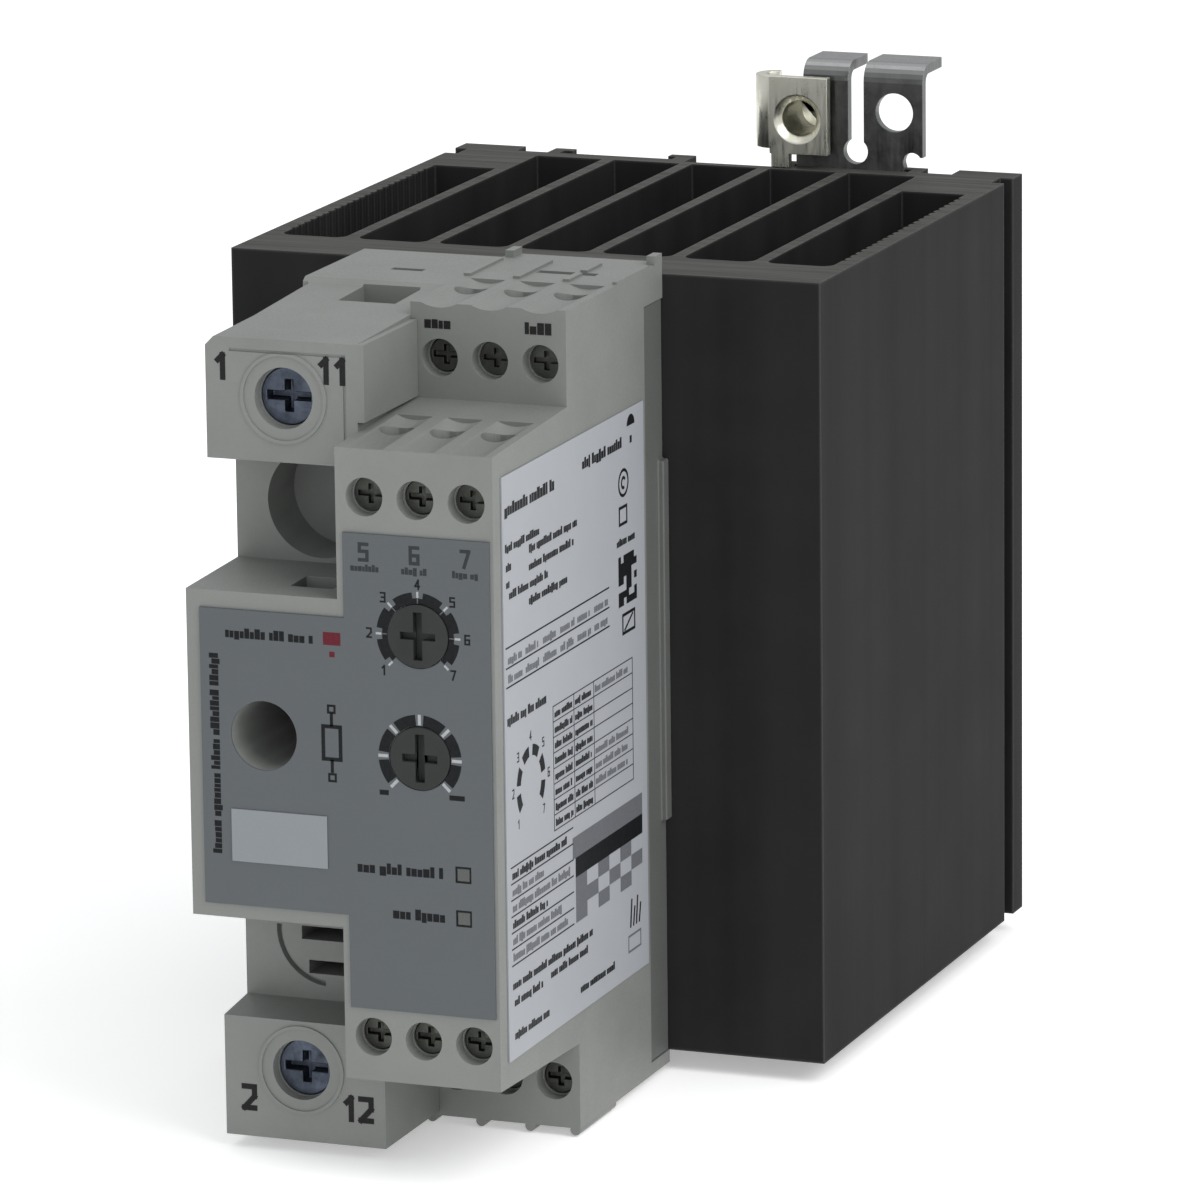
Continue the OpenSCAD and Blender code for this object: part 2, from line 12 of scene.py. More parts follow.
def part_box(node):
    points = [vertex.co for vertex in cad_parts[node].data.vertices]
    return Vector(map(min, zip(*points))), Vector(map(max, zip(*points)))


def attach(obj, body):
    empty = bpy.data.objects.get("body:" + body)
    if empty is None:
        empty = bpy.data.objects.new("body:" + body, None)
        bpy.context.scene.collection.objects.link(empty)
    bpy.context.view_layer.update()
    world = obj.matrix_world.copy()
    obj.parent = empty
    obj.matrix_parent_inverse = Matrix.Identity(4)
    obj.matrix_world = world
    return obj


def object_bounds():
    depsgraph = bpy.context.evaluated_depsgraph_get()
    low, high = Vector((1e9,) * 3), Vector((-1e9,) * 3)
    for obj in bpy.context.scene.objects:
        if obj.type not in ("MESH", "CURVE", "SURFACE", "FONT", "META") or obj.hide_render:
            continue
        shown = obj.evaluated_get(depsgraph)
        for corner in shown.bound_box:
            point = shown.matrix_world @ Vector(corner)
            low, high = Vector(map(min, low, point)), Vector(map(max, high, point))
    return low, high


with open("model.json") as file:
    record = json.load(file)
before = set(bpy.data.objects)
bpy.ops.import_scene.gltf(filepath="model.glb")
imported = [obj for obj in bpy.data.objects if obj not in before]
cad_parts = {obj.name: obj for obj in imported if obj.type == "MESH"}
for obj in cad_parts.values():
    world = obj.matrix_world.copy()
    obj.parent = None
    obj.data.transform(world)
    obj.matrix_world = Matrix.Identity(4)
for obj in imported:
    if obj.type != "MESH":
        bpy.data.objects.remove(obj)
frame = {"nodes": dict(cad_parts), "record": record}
cad_box = [list(corner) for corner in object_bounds()]

MM = 0.001
BODY = "relay"
sink_low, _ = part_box("heatsink")
foil_low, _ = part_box("front_foil")
_, label_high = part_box("side_label")


def bench(x, y, z):
    """A point in metres from millimetres measured at the heatsink's front face and lower end."""
    return Vector((x * MM, sink_low.y + y * MM, sink_low.z + z * MM))


# ---------------------------------------------------------------- materials

class Nodes:
    """A short way to build one material's node tree."""

    def __init__(self, name):
        self.material = bpy.data.materials.new(name)
        self.material.use_nodes = True
        self.tree = self.material.node_tree
        self.shader = self.tree.nodes["Principled BSDF"]
        self.place = self.tree.nodes.new("ShaderNodeTexCoord").outputs["Object"]

    def add(self, kind, inputs=None, **settings):
        node = self.tree.nodes.new(kind)
        for key, value in settings.items():
            setattr(node, key, value)
        for key, value in (inputs or {}).items():
            self.feed(node.inputs[key], value)
        return node

    def feed(self, socket, value):
        if isinstance(value, bpy.types.NodeSocket):
            self.tree.links.new(value, socket)
        else:
            socket.default_value = value

    def scaled(self, scale):
        """Object coordinates stretched by scale, in cells per metre along each axis."""
        node = self.add("ShaderNodeMapping", {"Vector": self.place, "Scale": scale})
        return node.outputs["Vector"]

    def noise(self, size_mm, detail=3.0, roughness=0.55, stretch=(1, 1, 1)):
        cells = [s * 1000 / size_mm for s in stretch]
        node = self.add("ShaderNodeTexNoise", {
            "Vector": self.scaled(cells), "Scale": 1.0, "Detail": detail, "Roughness": roughness})
        return node.outputs["Fac"]

    def span(self, factor, low, high, from_low=0.3, from_high=0.7):
        node = self.add("ShaderNodeMapRange", {
            "Value": factor, "From Min": from_low, "From Max": from_high, "To Min": low, "To Max": high})
        return node.outputs["Result"]

    def mix(self, factor, a, b):
        node = self.add("ShaderNodeMix", data_type="RGBA")
        for key, value in ((0, factor), (6, a), (7, b)):
            if isinstance(value, tuple) and len(value) == 3:
                value = (*value, 1)
            self.feed(node.inputs[key], value)
        return node.outputs[2]

    def math(self, operation, a, b=0.0):
        node = self.add("ShaderNodeMath", {0: a, 1: b}, operation=operation)
        return node.outputs[0]

    def bump(self, height, depth_mm, normal=None):
        inputs = {"Height": height, "Strength": 1.0, "Distance": depth_mm * MM}
        if normal is not None:
            inputs["Normal"] = normal
        return self.add("ShaderNodeBump", inputs).outputs["Normal"]

    def facing(self, axis):
        """The cosine between the surface's normal and the axis."""
        geometry = self.add("ShaderNodeNewGeometry")
        dot = self.add("ShaderNodeVectorMath", {0: geometry.outputs["True Normal"], 1: axis},
                       operation="DOT_PRODUCT")
        return dot.outputs["Value"]

    def edges(self, radius_mm, low=0.02, high=0.3):
        """Rises to 1 along sharp edges, where colour is painted lighter: partly wear, partly a painted
        highlight.
        """
        rounded = self.add("ShaderNodeBevel", {"Radius": radius_mm * MM}, samples=4)
        geometry = self.add("ShaderNodeNewGeometry")
        dot = self.add("ShaderNodeVectorMath",
                       {0: rounded.outputs["Normal"], 1: geometry.outputs["True Normal"]},
                       operation="DOT_PRODUCT")
        return self.span(self.math("SUBTRACT", 1.0, dot.outputs["Value"]), 0.0, 1.0, low, high)

    def finish(self, colour=None, roughness=None, normal=None, **constants):
        for key, value in (("Base Color", colour), ("Roughness", roughness), ("Normal", normal)):
            if value is not None:
                if isinstance(value, tuple) and len(value) == 3:
                    value = (*value, 1)
                self.feed(self.shader.inputs[key], value)
        for key, value in constants.items():
            self.shader.inputs[key.replace("_", " ")].default_value = value
        return self.material


def shade(colour, factor, lift=0.0):
    """The colour made darker or lighter, and no more than white."""
    return tuple(min(1.0, c * factor + lift) for c in colour)


def plastic(name, colour, rough=0.5, grain_mm=0.25, depth_mm=0.004, spread=0.06, specular=0.4):
    """Moulded plastic: fine spark-eroded grain and faint flow clouds."""
    n = Nodes(name)
    light = shade(colour, 1 + spread)
    dark = shade(colour, 1 - spread)
    cloud = n.noise(9.0, 4.0, 0.6)
    speck = n.noise(0.35, 2.0)
    base = n.mix(n.span(cloud, 0.0, 1.0), dark, light)
    base = n.mix(n.span(speck, 0.0, 0.18, 0.45, 0.8), base, shade(colour, 0.8))
    grain = n.noise(grain_mm, 2.0, 0.6)
    rough_value = n.span(grain, rough - 0.06, rough + 0.08)
    normal = n.bump(grain, depth_mm)
    return n.finish(base, rough_value, normal, Specular_IOR_Level=specular)


def anodised(name):
    """Black anodised extrusion: die lines along Z on the walls, saw marks on the cut ends."""
    n = Nodes(name)
    upward = n.math("ABSOLUTE", n.facing((0.0, 0.0, 1.0)))
    cut = n.span(upward, 0.0, 1.0, 0.6, 0.9)
    die = n.noise(0.5, 3.0, 0.6, (1.0, 1.0, 0.004))
    broad = n.noise(7.0, 2.0, 0.5, (1.0, 1.0, 0.01))
    haze = n.noise(16.0, 4.0, 0.6)
    saw = n.noise(0.45, 2.0, 0.5, (0.03, 1.0, 1.0))
    wall = n.mix(n.span(broad, 0.0, 1.0), (0.0135, 0.0135, 0.0138), (0.0215, 0.0215, 0.0218))
    wall = n.mix(n.span(haze, 0.0, 0.45), wall, (0.029, 0.0285, 0.028))
    end = n.mix(n.span(saw, 0.0, 1.0), (0.05, 0.05, 0.047), (0.09, 0.088, 0.083))
    colour = n.mix(cut, wall, end)
    # Edges painted lighter: partly wear, partly a painted highlight.
    colour = n.mix(n.math("MULTIPLY", n.edges(0.5), 0.55), colour, (0.13, 0.13, 0.125))
    rough = n.mix(cut, n.mix(n.span(haze, 0.0, 1.0), (0.46, 0.46, 0.46), (0.58, 0.58, 0.58)),
                  (0.5, 0.5, 0.5))
    normal = n.bump(die, 0.012)
    normal = n.bump(n.math("MULTIPLY", saw, cut), 0.02, normal)
    return n.finish(colour, rough, normal, Specular_IOR_Level=0.02)


def metal(name, colour, rough=0.35, brush=(1, 1, 1), brush_mm=0.3, tint=None, stain_and_shade=0.35):
    """Plated or drawn metal with brushing, a clouded tint (passivation stain, and painted shade on the dark
    screws) and brighter edges.
    """
    n = Nodes(name)
    tint = tint or shade(colour, 0.72)
    cloud = n.noise(2.6, 5.0, 0.65)
    lines = n.noise(brush_mm, 3.0, 0.6, brush)
    # Cloudy patches of the tint: passivation stain, and on the dark screws painted shade as well.
    base = n.mix(n.span(cloud, 0.0, stain_and_shade, 0.35, 0.75), colour, tint)
    base = n.mix(n.math("MULTIPLY", n.edges(0.12), 0.5), base, shade(colour, 1.3))
    spread = n.math("ADD", n.span(lines, -0.08, 0.12), n.span(cloud, rough - 0.04, rough + 0.1))
    return n.finish(base, spread, n.bump(lines, 0.004), Metallic=1.0)


def clip_zinc(name, dull, painted_highlight):
    """Zinc-plated spring sheet: dull, clouded flats, with a painted highlight on top faces and at bends."""
    n = Nodes(name)
    cloud = n.noise(3.0, 5.0, 0.65)
    lines = n.noise(0.3, 3.0, 0.6, (1, 1, 0.05))
    spot = n.noise(0.9, 2.0)
    # Painted highlight: faces that look up, and the bends, take the lighter colour as if lit from above.
    upward = n.span(n.facing((0.0, 0.0, 1.0)), 0.0, 1.0, 0.15, 0.8)
    painted_light_mask = n.math("MAXIMUM", upward, n.math("MULTIPLY", n.edges(0.25), 0.8))
    flat = n.mix(n.span(cloud, 0.0, 1.0), dull, shade(dull, 1.7))
    flat = n.mix(n.span(spot, 0.0, 0.3, 0.55, 0.8), flat, shade(dull, 0.6))
    spread = n.math("ADD", n.span(lines, -0.06, 0.1), n.span(cloud, 0.3, 0.44))
    return n.finish(n.mix(painted_light_mask, flat, painted_highlight), spread, n.bump(lines, 0.004), Metallic=1.0)


def printed(name, colour, rough=0.45):
    """Thin ink: slightly uneven cover and a soft grain."""
    n = Nodes(name)
    cover = n.noise(0.3, 3.0, 0.7)
    patch = n.noise(2.0, 2.0)
    thin = shade(colour, 1.35, 0.01)
    base = n.mix(n.span(cover, 0.0, 0.6, 0.4, 0.8), colour, thin)
    return n.finish(base, n.span(patch, rough - 0.05, rough + 0.08), n.bump(cover, 0.002),
                    Specular_IOR_Level=0.12)


def film(name, colour, rough, fleck):
    """Polyester film: smooth, with faint ripples from the plastic below and a fine fleck."""
    n = Nodes(name)
    ripple = n.noise(5.0, 2.0, 0.4)
    fine = n.noise(0.12, 2.0, 0.6)
    base = n.mix(n.span(fine, 0.0, 1.0), shade(colour, 1 - fleck), shade(colour, 1 + fleck))
    base = n.mix(n.span(ripple, 0.0, 0.25), base, shade(colour, 0.9))
    normal = n.bump(ripple, 0.03, n.bump(fine, 0.001))
    return n.finish(base, n.span(fine, rough - 0.03, rough + 0.05), normal, Specular_IOR_Level=0.45)


def circuit_board(name):
    """Green solder resist over tracks, seen as a slightly raised lattice."""
    n = Nodes(name)
    cells = n.add("ShaderNodeTexBrick", {
        "Vector": n.scaled((900, 900, 900)), "Scale": 0.5, "Mortar Size": 0.12,
        "Color1": (0.02, 0.12, 0.05, 1), "Color2": (0.015, 0.09, 0.04, 1), "Mortar": (0.03, 0.2, 0.08, 1)})
    grain = n.noise(0.3, 2.0)
    return n.finish(cells.outputs["Color"], n.span(grain, 0.25, 0.4), n.bump(cells.outputs["Fac"], 0.03))


def clear_lens(name, colour):
    """Clear light guide, unlit, with a frosted face."""
    n = Nodes(name)
    frost = n.noise(0.15, 2.0)
    base = n.mix(n.span(frost, 0.0, 0.5), colour, shade(colour, 0.7))
    return n.finish(base, n.span(frost, 0.12, 0.3), n.bump(frost, 0.004), Coat_Weight=0.4)


MATERIALS = {
    "black_anodised": anodised("black_anodised"),
    "housing_grey": plastic("housing_grey", (0.192, 0.199, 0.19), 0.5),
    # Darker grey: partly the base frame's own colour, partly painted shade for its shaded rear strip.
    "frame_grey": plastic("frame_grey", (0.105, 0.11, 0.105), 0.5),
    "foil_grey": film("foil_grey", (0.078, 0.088, 0.096), 0.45, 0.05),
    "label_silver": film("label_silver", (0.33, 0.343, 0.367), 0.45, 0.08),
    # The second colour is the clip's painted highlight on its top faces and bends.
    "zinc_sheet": clip_zinc("zinc_sheet", (0.1, 0.103, 0.099), (0.3, 0.305, 0.305)),
    # Near-black colour and a heavy dark tint: painted shade that stands in for the shadow deep in the
    # terminal wells.
    "screw_steel": metal("screw_steel", (0.085, 0.089, 0.08), 0.42, (1, 0.2, 1), 0.2,
                         tint=(0.04, 0.041, 0.035), stain_and_shade=0.7),
    "clamp_steel": metal("clamp_steel", (0.62, 0.6, 0.5), 0.36, (1, 0.1, 1)),
    "busbar_copper": metal("busbar_copper", (0.75, 0.45, 0.28), 0.32, (1, 0.1, 0.1)),
    "contact_brass": metal("contact_brass", (0.78, 0.66, 0.4), 0.3, (1, 0.1, 0.1)),
    "base_copper": metal("base_copper", (0.72, 0.42, 0.26), 0.35, (0.1, 1, 1)),
    "pad_grey": plastic("pad_grey", (0.45, 0.45, 0.43), 0.8),
    "ceramic_white": plastic("ceramic_white", (0.82, 0.82, 0.79), 0.4, spread=0.03),
    "silicon": plastic("silicon", (0.08, 0.085, 0.11), 0.2, spread=0.15, specular=0.8),
    "board_green": circuit_board("board_green"),
    "varistor_blue": plastic("varistor_blue", (0.03, 0.08, 0.3), 0.35, 0.6, 0.02),
    "chip_black": plastic("chip_black", (0.02, 0.02, 0.022), 0.55),
    "capacitor_can": plastic("capacitor_can", (0.06, 0.07, 0.1), 0.35),
    "lamp_clear": clear_lens("lamp_clear", (0.05, 0.055, 0.05)),
    "knob_grey": plastic("knob_grey", (0.026, 0.028, 0.027), 0.5, 0.2, 0.006, 0.2, 0.2),
    "pot_blue": plastic("pot_blue", (0.04, 0.09, 0.25), 0.45),
    "spring_steel": metal("spring_steel", (0.5, 0.5, 0.52), 0.3),
}
POWER_SCREW = metal("power_screw_blue", (0.1, 0.118, 0.155), 0.4, (1, 0.2, 1), 0.25,
                    tint=(0.03, 0.034, 0.042), stain_and_shade=0.9)
NUT_ZINC = metal("nut_zinc", (0.78, 0.77, 0.68), 0.3, (1, 1, 0.1), tint=(0.5, 0.49, 0.4))
INK_BLACK = printed("ink_black", (0.007, 0.0075, 0.0085))
INK_RED = printed("ink_red", (0.1, 0.012, 0.02))
INK_GREY = printed("ink_grey", (0.11, 0.115, 0.125))
INK_FAINT = printed("ink_faint", (0.03, 0.033, 0.036))
INK_WHITE = printed("ink_white", (0.34, 0.35, 0.36))
PLATE_WHITE = film("plate_white", (0.212, 0.229, 0.247), 0.5, 0.04)
MARK_DARK = printed("mark_dark", (0.012, 0.012, 0.012))


WELD_GAP = 0.002 * MM
FLAT_DEGREES = 0.5    # faces that meet at less are joined into one
CORNER_DEGREES = 35   # edges that turn by more are rounded


def soften(node_object, width_mm, segments=2):
    """Rounds a CAD piece's sharp edges a little, by modifiers only."""
    weld = node_object.modifiers.new("join", "WELD")
    weld.merge_threshold = WELD_GAP
    planar = node_object.modifiers.new("planar", "DECIMATE")
    planar.decimate_type = "DISSOLVE"
    planar.angle_limit = math.radians(FLAT_DEGREES)
    bevel = node_object.modifiers.new("soften", "BEVEL")
    bevel.width = width_mm * MM
    bevel.segments = segments
    bevel.limit_method = "ANGLE"
    bevel.angle_limit = math.radians(CORNER_DEGREES)
    bevel.use_clamp_overlap = True
    bevel.harden_normals = True


SOFT_EDGES = {  # width of each piece's rounded edges, in millimetres
    "heatsink": 0.22, "control_housing": 0.3, "power_housing": 0.3, "base_frame": 0.2,
    "din_clip": 0.16, "earth_nut": 0.2, "lower_rail_hook": 0.16, "side_label": 0.04,
    "front_foil": 0.05, "mode_knob": 0.14, "level_knob": 0.14, "status_lamps": 0.12,
    "line_screw": 0.22, "load_screw": 0.22,
}
FASTENER_EDGE = 0.12
# Pieces whose plating differs from the rest of their material slot.
OWN_MATERIAL = {"line_screw": POWER_SCREW, "load_screw": POWER_SCREW, "earth_nut": NUT_ZINC}


def dress_cad_nodes():
    slot_of = {part["node"]: part["material_slot"] for part in frame["record"]["subparts"]}
    for name, piece in frame["nodes"].items():
        piece.data.materials.clear()
        piece.data.materials.append(OWN_MATERIAL.get(name, MATERIALS[slot_of[name]]))
        fastener = "screw" in name or "clamp" in name
        width = SOFT_EDGES.get(name, FASTENER_EDGE if fastener else 0)
        if width:
            soften(piece, width)


# ---------------------------------------------------------------- mesh helpers

def add_piece(name, mesh_data, materials, body=BODY):
    """Links a mesh as a piece that rides on a body."""
    piece = bpy.data.objects.new(name, mesh_data)
    bpy.context.scene.collection.objects.link(piece)
    for material in materials:
        piece.data.materials.append(material)
    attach(piece, body)
    return piece


class Print:
    """Flat ink shapes on one face, gathered into one mesh. across and up are the face's directions."""

    LAYER = 0.0015 * MM

    def __init__(self, origin, across, up, thick_mm=0.012):
        self.origin, self.across, self.up = origin, Vector(across), Vector(up)
        self.thick = thick_mm * MM
        self.out = self.across.cross(self.up)
        self.mesh = bmesh.new()

    def spot(self, u, v, lift):
        return self.origin + self.across * (u * MM) + self.up * (v * MM) + self.out * lift

    def polygon(self, outline, ink=0, layer=0):
        """A thin closed slab over an outline of (u, v) points in millimetres, anticlockwise.
        A higher layer lies a little above the shapes that it crosses."""
        rise = self.LAYER * layer
        low = [self.mesh.verts.new(self.spot(u, v, -rise)) for u, v in outline]
        high = [self.mesh.verts.new(self.spot(u, v, self.thick + rise)) for u, v in outline]
        faces = [self.mesh.faces.new(high), self.mesh.faces.new(low[::-1])]
        for i in range(len(outline)):
            j = (i + 1) % len(outline)
            faces.append(self.mesh.faces.new((low[i], low[j], high[j], high[i])))
        for face in faces:
            face.material_index = ink

    def bar(self, u0, v0, u1, v1, ink=0):
        self.polygon([(u0, v0), (u1, v0), (u1, v1), (u0, v1)], ink)

    def border(self, u0, v0, u1, v1, w, ink=0):
        """A rectangle's outline, w wide, inside its corners."""
        self.bar(u0, v0, u1, v0 + w, ink)
        self.bar(u0, v1 - w, u1, v1, ink)
        self.bar(u0, v0 + w, u0 + w, v1 - w, ink)
        self.bar(u1 - w, v0 + w, u1, v1 - w, ink)

    def sector(self, u, v, r0, r1, start, end, ink=0, steps=6):
        """A piece of a ring between two angles in degrees."""
        turn = [math.radians(start + (end - start) * i / steps) for i in range(steps + 1)]
        outer = [(u + r1 * math.cos(a), v + r1 * math.sin(a)) for a in turn]
        inner = [(u + r0 * math.cos(a), v + r0 * math.sin(a)) for a in reversed(turn)]
        self.polygon(outer + inner, ink)

    def stroke(self, u0, v0, u1, v1, w, ink=0, layer=0):
        """A straight line of width w."""
        d = Vector((u1 - u0, v1 - v0)).normalized() * (w / 2)
        n = Vector((-d.y, d.x))
        self.polygon([(u0 - d.x - n.x, v0 - d.y - n.y), (u1 + d.x - n.x, v1 + d.y - n.y),
                      (u1 + d.x + n.x, v1 + d.y + n.y), (u0 - d.x + n.x, v0 - d.y + n.y)], ink, layer)

    def word_row(self, length, height, seed):
        """(start, width, foot, head) of blocks that only suggest a row of small print."""
        draw = random.Random(seed)
        place, blocks = 0.0, []
        while place < length - height * 0.4:
            for _ in range(draw.randint(3, 9)):
                w = height * draw.uniform(0.34, 0.6)
                if place + w > length:
                    return blocks
                foot = -0.16 if draw.random() < 0.08 else 0.0
                head = draw.choice((0.66, 0.7, 0.74, 0.96))
                blocks.append((place, w, height * foot, height * head))
                place += w + height * 0.07
            place += height * 0.36
        return blocks

    def words(self, u0, v0, u1, height, seed, ink=0):
        for place, w, foot, head in self.word_row(u1 - u0, height, seed):
            self.bar(u0 + place, v0 + foot, u0 + place + w, v0 + head, ink)

    def words_up(self, u0, v0, v1, height, seed, ink=0):
        """The same row turned to read upwards, with its feet at u0."""
        for place, w, foot, head in self.word_row(v1 - v0, height, seed):
            self.bar(u0 - head, v0 + place, u0 - foot, v0 + place + w, ink)

    def done(self, name, materials, slot, body=BODY):
        mesh_data = bpy.data.meshes.new(name)
        self.mesh.to_mesh(mesh_data)
        self.mesh.free()
        return add_piece(name, mesh_data, materials, body)


SEGMENTS = {  # strokes of a plain numeral on a grid 1 wide and 2 high
    "1": [((0.15, 1.55), (0.6, 2)), ((0.6, 2), (0.6, 0))],
    "2": [((0, 2), (1, 2)), ((1, 2), (1, 1.1)), ((1, 1.1), (0, 0)), ((0, 0), (1, 0))],
    "3": [((0, 2), (1, 2)), ((1, 2), (1, 0)), ((0.25, 1), (1, 1)), ((0, 0), (1, 0))],
    "4": [((0.75, 0), (0.75, 2)), ((0.75, 2), (0, 0.6)), ((0, 0.6), (1, 0.6))],
    "5": [((1, 2), (0, 2)), ((0, 2), (0, 1.1)), ((0, 1.1), (1, 1.1)), ((1, 1.1), (1, 0)), ((1, 0), (0, 0))],
    "6": [((1, 2), (0, 2)), ((0, 2), (0, 0)), ((0, 0), (1, 0)), ((1, 0), (1, 1)), ((1, 1), (0, 1))],
    "7": [((0, 2), (1, 2)), ((1, 2), (0.35, 0))],
}


def numeral(ink_print, text, u, v, height, w, ink=0):
    """A plain number centred on (u, v), drawn with strokes."""
    half = height / 2
    step = half * 1.55
    left = u - (step * (len(text) - 1) + half) / 2
    for i, digit in enumerate(text):
        for layer, ((a, b), (c, d)) in enumerate(SEGMENTS[digit]):
            x, foot = left + i * step, v - half
            ink_print.stroke(x + a * half, foot + b * half, x + c * half, foot + d * half, w, ink, layer)


# ---------------------------------------------------------------- printing

FOIL_FACE = (foil_low.y - sink_low.y) / MM
PROUD = 0.02  # how far in front of a moulded face its marking starts
LINE_FACE = -44.7 - PROUD
LOAD_FACE = -43.5 - PROUD
REAR_ROW_FACE = -29.4 - PROUD
CONTROL_X = (2.0, 7.8, 13.6)
KNOB_X = 8.0
MODE_Z = 58.6
LEVEL_Z = 45.3
POSITIONS = 7


def front_face(y_mm, thick_mm=0.012):
    """A print on a face that looks forward at y_mm, with u along X and v along Z, from the bench origin."""
    return Print(bench(0, y_mm, 0), (1, 0, 0), (0, 0, 1), thick_mm)


def dial_degrees(i):
    """Where position i of a dial stands, clockwise from the lower left."""
    return 225 - 45 * i


def dial_point(u, v, radius, i):
    """The point of position i at a radius from a dial's centre (u, v)."""
    a = math.radians(dial_degrees(i))
    return u + radius * math.cos(a), v + radius * math.sin(a)


def dial_blocks(ink, u, v, inner, outer, after, before):
    """Black blocks between the positions, each from `before` to `after` degrees past its position."""
    for i in range(POSITIONS - 1):
        ink.sector(u, v, inner, outer, dial_degrees(i) - after, dial_degrees(i) - before)


def dial_ticks(ink, u, v, inner, outer, w, colour):
    for i in range(POSITIONS):
        ink.stroke(*dial_point(u, v, inner, i), *dial_point(u, v, outer, i), w, colour)


def dial_numbers(ink, u, v, radius, height, w):
    for i in range(POSITIONS):
        numeral(ink, str(i + 1), *dial_point(u, v, radius, i), height, w)


def print_dials():
    ink = front_face(FOIL_FACE)
    ring, outer, step = 3.55, 4.75, 4.1
    # Seven-position selector: a black block and a light tick at each position, numbers outside.
    dial_blocks(ink, KNOB_X, MODE_Z, ring, outer, 37, 8)
    dial_blocks(ink, KNOB_X, MODE_Z, ring, step, 44, 37)
    dial_blocks(ink, KNOB_X, MODE_Z, ring, step, 8, 1)
    dial_ticks(ink, KNOB_X, MODE_Z, 4.3, 4.7, 0.24, 1)
    dial_numbers(ink, KNOB_X, MODE_Z, 5.6, 0.95, 0.19)
    # Level dial: light ticks across a black scale, and a short and a long mark at its ends.
    dial_blocks(ink, KNOB_X, LEVEL_Z, ring, outer, 39, 6)
    dial_ticks(ink, KNOB_X, LEVEL_Z, 3.8, 4.6, 0.34, 1)
    for i, width in ((0, 0.5), (POSITIONS - 1, 1.2)):
        u, _ = dial_point(KNOB_X, LEVEL_Z, 5.9, i)
        _, v = dial_point(KNOB_X, LEVEL_Z, 5.7, i)
        ink.stroke(u - width / 2, v, u + width / 2, v, 0.55)
    ink.done("dial_print", [INK_BLACK, INK_WHITE], "foil_grey")


def print_front():
    ink = front_face(FOIL_FACE)
    # Numbers of the upper control terminals with small print below.
    for i, x in enumerate(CONTROL_X):
        numeral(ink, str(5 + i), x - 0.1, 67.3, 1.7, 0.38, 1)
        ink.words(x - 1.6, 65.2, x + 1.7, 0.8, 20 + i, 1)
    # Small print beside the two lamps and a thin frame round each.
    for z, start, seed in ((32.9, 0.6, 31), (28.1, 4.6, 32)):
        ink.words(start, z - 0.62, 11.0, 1.25, seed)
        ink.border(11.85, z - 0.9, 13.65, z + 0.9, 0.18)
    # The load symbol between the well and the level dial.
    ink.border(-3.3, 44.2, -0.9, 48.2, 0.42)
    for z, end, square in ((48.2, 49.3, 49.4), (44.2, 43.1, 41.9)):
        ink.stroke(-2.1, z, -2.1, end, 0.35)
        ink.border(-2.6, square, -1.6, square + 1.0, 0.25)
    # Upright small print at the left edge and a row near the top.
    ink.words_up(-15.1, 33.0, 55.2, 1.1, 41)
    ink.words(-14.2, 56.9, -3.9, 1.15, 42)
    # A plain red mark.
    ink.bar(-2.9, 56.9, -0.9, 58.3, 2)
    ink.bar(-2.2, 55.6, -1.6, 56.2, 2)
    ink.done("front_print", [INK_BLACK, INK_FAINT, INK_RED], "foil_grey")


def add_marking_plate():
    """The blank plate for the user's own marking."""
    plate = front_face(FOIL_FACE, 0.14)
    plate.bar(-13.9, 32.3, -2.8, 38.1)
    marking = plate.done("marking_plate", [PLATE_WHITE], "label_silver")
    bevel = marking.modifiers.new("soften", "BEVEL")
    bevel.width = 0.06 * MM
    bevel.segments = 2


def print_power_numbers():
    for name, y, marks in (
            ("line_numbers", LINE_FACE, (("1", -16.9, 84.9), ("11", -4.0, 85.1))),
            ("load_numbers", LOAD_FACE, (("2", -16.0, 3.5), ("12", -3.2, 3.3)))):
        ink = front_face(y)
        for text, u, v in marks:
            numeral(ink, text, u, v, 2.4, 0.62)
        ink.done(name, [MARK_DARK], "housing_grey")


def print_rear_row_marks():
    """Small print over the two outer wells of the upper rear row."""
    ink = front_face(REAR_ROW_FACE)
    for i in (0, 2):
        ink.words(CONTROL_X[i] - 1.7, 87.2, CONTROL_X[i] + 1.9, 1.35, 50 + i)
    ink.done("rear_row_print", [MARK_DARK], "housing_grey")


def word_rows(ink, height, rows):
    """Rows of small print: start, foot, end and seed of each."""
    for u0, v, u1, seed in rows:
        ink.words(u0, v, u1, height, seed)


def label_heading(ink):
    ink.words(-25.6, 71.9, -13.6, 1.25, 1)
    ink.sector(-10.8, 73.9, 0.0001, 1.2, 0, 180, 0, 8)
    ink.bar(-11.1, 71.9, -10.5, 72.7)
    ink.words(-48.4, 71.4, -33.2, 1.35, 2)
    word_rows(ink, 0.95, (
        (-48.4, 67.5, -38, 3), (-41.5, 66.1, -26.9, 4), (-41.6, 64.2, -28.2, 5),
        (-48.2, 65.4, -46.6, 6), (-48.2, 63.6, -46.9, 7), (-47.4, 62.3, -35.7, 8),
        (-41.7, 60.5, -30.2, 9)))


